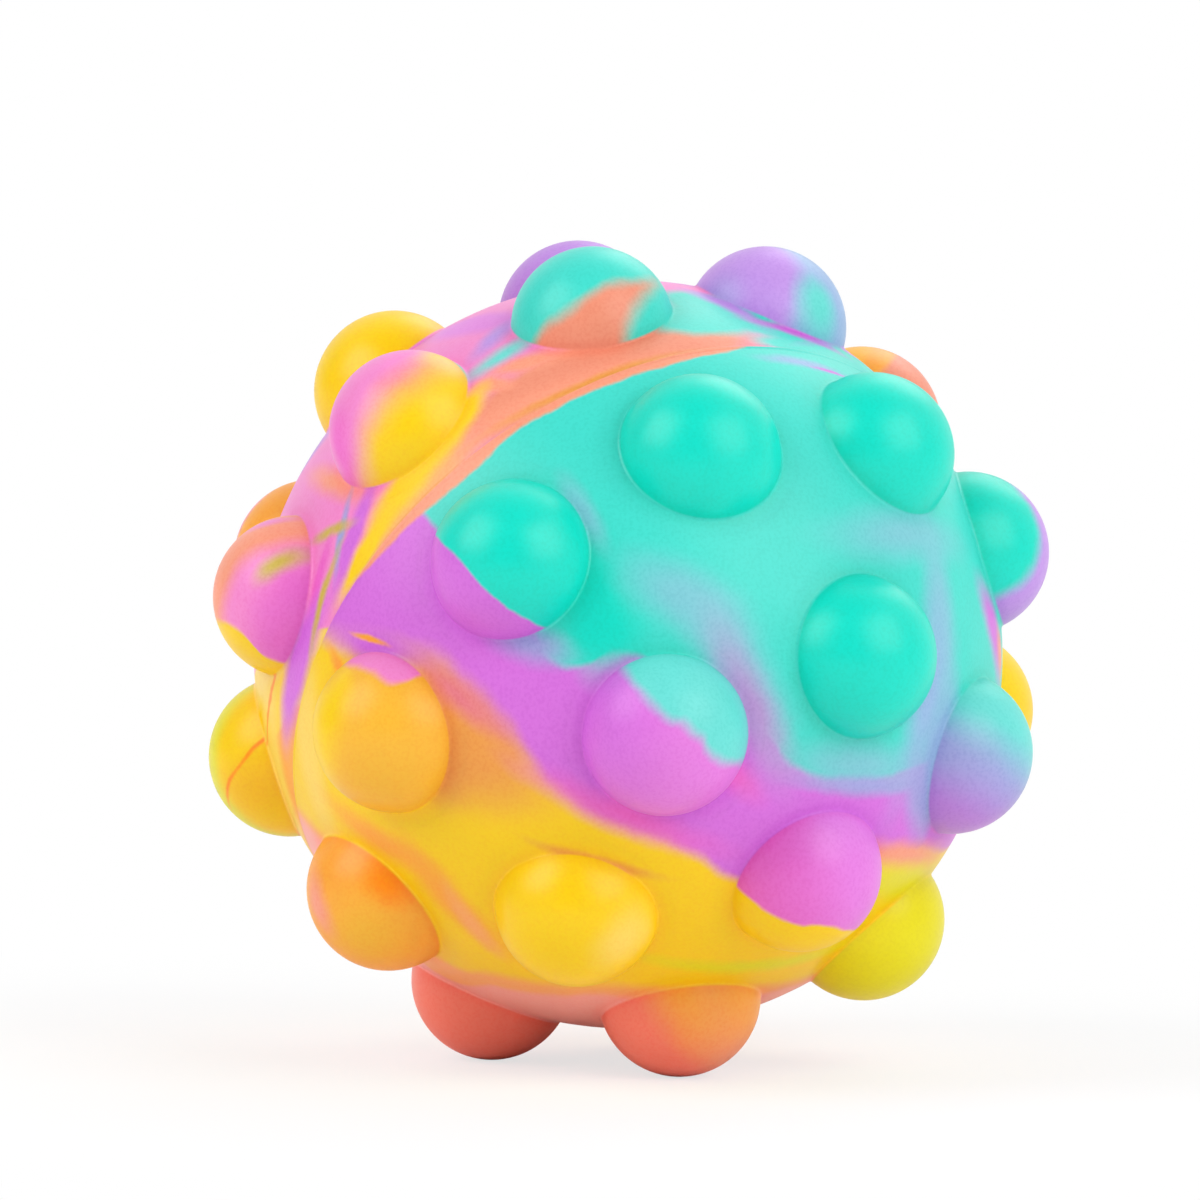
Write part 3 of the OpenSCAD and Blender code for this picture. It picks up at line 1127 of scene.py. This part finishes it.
def silicone(name, half, bubble=None):
    """The silicone of a half shell, or of one bubble on it."""
    material = bpy.data.materials.new(name)
    tree, output = new_tree(material)
    cast = Value(tree).node("ShaderNodeAttribute", {"attribute_name": "cast"}, output="Vector")
    ball = cast.vector("NORMALIZE").vector("SCALE", Scale=BALL_R)
    place = wandered(ball)
    flats = {side: peel(place, side) for side in (NEAR_PEEL, FAR_PEEL)}
    if bubble:
        colour = bubble_colour(bubble, cast, ball, place, flats)
    else:
        colour = laid_on(*HALF_DYES[half], place, flats)
    grain = speckle(cast, GRAIN_SCALE)
    dents = speckle(cast, DENT_SCALE)
    bump = cast.node("ShaderNodeBump", None, {
        "Strength": BUMP_STRENGTH,
        "Distance": BUMP_HEIGHT,
        "Height": grain * GRAIN_HEIGHT + dents,
    })
    shader = cast.node("ShaderNodeBsdfPrincipled", {"subsurface_method": "BURLEY"}, {
        "Base Color": deepened(colour, grain.step(*GRAIN_SPOTS) * GRAIN_DEPTH),
        "Roughness": GLOSS + dents * GLOSS_WANDER,
        "Normal": bump,
        "IOR": SILICONE_IOR,
        "Subsurface Weight": GLOW_SHARE,
        "Subsurface Radius": (1.0, 1.0, 1.0),
        "Subsurface Scale": GLOW_REACH,
    })
    tree.links.new(shader.socket, output.inputs["Surface"])
    return material


shell_silicone = {half: silicone(half + "_silicone", half) for half in shells}
print("silicone for the half shells:", ", ".join(m.name for m in shell_silicone.values()))

# %% [markdown]
# Now the pieces are dressed. One material could hold all 34 bubbles, but it would have to find out
# at every place which bubble it is on. So each bubble has its own, named after the bubble. The bead
# is glue that took up the dye of both rims, so each of its sides takes the silicone of the half
# beside it.

# %% Dressing the pieces
for half, shell in shells.items():
    shell.data.materials.append(shell_silicone[half])
    bead.data.materials.append(shell_silicone[half])
for face in bead.data.polygons:
    face.material_index = 0 if (face.center - CENTRE).dot(POLES["front"]) > 0 else 1
for name, piece in bubbles.items():
    BUBBLE_DYES[name][0] + "_silicone"
    piece.data.materials.append(silicone(name + "_silicone", half_of(name), name))
print(len(bpy.data.materials), "materials")

# %% [markdown]
# The ball stands on a pale floor in a white room. A plain white floor would show a grey horizon. So
# close to the ball the floor is lit as it is, and keeps the shadow, and farther out it fades to
# plain white for the camera and for reflections, while the light that bounces off it stays.

# %% Floor
FLOOR_R = 6.0
FLOOR_STEPS = 96
FLOOR_SHADE = (0.95, 0.95, 0.95, 1)
WHITE = (1, 1, 1, 1)
NEAR_WHITE = 0.7
SHADOW_REACH = (0.03, 0.09)


def sight(value):
    """Whether a ray comes from the camera, and whether it comes by a mirrored or clear surface."""
    camera_ray = value.node("ShaderNodeLightPath", output="Is Camera Ray")
    return camera_ray, camera_ray.also("Is Glossy Ray") + camera_ray.also("Is Transmission Ray")


def pale_floor():
    """Matt near the ball, and plain white far from it for the camera and for reflections."""
    material = bpy.data.materials.new("pale_floor")
    tree, output = new_tree(material)
    spot = Value(tree).node("ShaderNodeNewGeometry", output="Position")
    away = spot.measure("LENGTH").step(*SHADOW_REACH)
    camera_ray, mirrored = sight(spot)
    white = (camera_ray + mirrored * away) * (NEAR_WHITE + (1 - NEAR_WHITE) * away)
    matt = spot.node("ShaderNodeBsdfDiffuse", None, {"Color": FLOOR_SHADE})
    glow = spot.node("ShaderNodeEmission", None, {"Color": WHITE, "Strength": 1.0})
    shader = spot.node("ShaderNodeMixShader", None, {0: white, 1: matt, 2: glow})
    tree.links.new(shader.socket, output.inputs["Surface"])
    return material


turns = [2 * pi * k / FLOOR_STEPS for k in range(FLOOR_STEPS)]
disc = bpy.data.meshes.new("floor")
disc.from_pydata([(FLOOR_R * cos(a), FLOOR_R * sin(a), 0) for a in turns], [], [range(FLOOR_STEPS)])
disc.materials.append(pale_floor())
floor = bpy.data.objects.new("floor", disc)
bpy.context.scene.collection.objects.link(floor)
print("floor", 2 * FLOOR_R, "m across, with a shadow", SHADOW_REACH[1], "m round")

# %% [markdown]
# Studio light for a small shiny thing comes from large soft sources, because small ones leave hard
# spots. Two soft boxes stand up to the left and up to the right, and each leaves a soft patch of
# light on every bubble. A third one behind lights the rims. Each is a square area lamp that faces
# the ball.

# %% Soft boxes
LAMPS = {
    "left_softbox": (Vector((-0.72, -0.36, 0.58)), 0.42, 2.1),
    "right_softbox": (Vector((0.64, -0.55, 0.52)), 0.48, 2.3),
    "rim_softbox": (Vector((0.3, 0.66, 0.69)), 0.34, 0.7),
}
LAMP_AWAY = 0.6


def make_lamp(name, towards, size, power):
    lamp = bpy.data.lights.new(name, "AREA")
    lamp.shape = "SQUARE"
    lamp.size = size
    lamp.energy = power
    lamp_object = bpy.data.objects.new(name, lamp)
    lamp_object.location = CENTRE + LAMP_AWAY * towards.normalized()
    lamp_object.rotation_euler = towards.to_track_quat("Z", "Y").to_euler()
    bpy.context.scene.collection.objects.link(lamp_object)


for name, settings in LAMPS.items():
    make_lamp(name, *settings)
print("lamps:", ", ".join(LAMPS))

# %% [markdown]
# The rest of the light comes from the room, which could be an image of a studio, but two levels
# are enough. Behind the ball is a white backdrop, and in front the room is dim, and dimmer still in
# the ball's gloss, so that the dyes keep their depth there. The camera sees plain white. The
# levels and the lamps add up to about one on a face turned to the light, so that a dye shows about
# as it is written.

# %% White room
ROOM_FRONT = 0.22
ROOM_BACK = 0.7
MIRRORED_FRONT = 0.1
BACKDROP = (0.35, 0.35, 0.87)
BACKDROP_EDGE = (0, 0.7)

world = bpy.data.worlds.new("white_room")
bpy.context.scene.world = world
world.use_nodes = True
room = world.node_tree.nodes["Background"]
room.inputs["Color"].default_value = WHITE
way = Value(world.node_tree).node("ShaderNodeTexCoord")
backdrop = (BACKDROP[0] * RIGHT + BACKDROP[1] * UP - BACKDROP[2] * TOWARD).normalized()
behind = way.measure("DOT_PRODUCT", backdrop).step(*BACKDROP_EDGE)
camera_ray, mirrored = sight(way)
room_level = ROOM_FRONT + (ROOM_BACK - ROOM_FRONT) * behind
mirror_level = MIRRORED_FRONT + (1 - MIRRORED_FRONT) * behind
lit = room_level + (mirror_level - room_level) * mirrored
level = camera_ray + (1 - camera_ray) * lit
world.node_tree.links.new(level.socket, room.inputs["Strength"])
bpy.context.scene.view_settings.view_transform = "Standard"
print("room at", ROOM_FRONT, "in front and", ROOM_BACK, "behind")
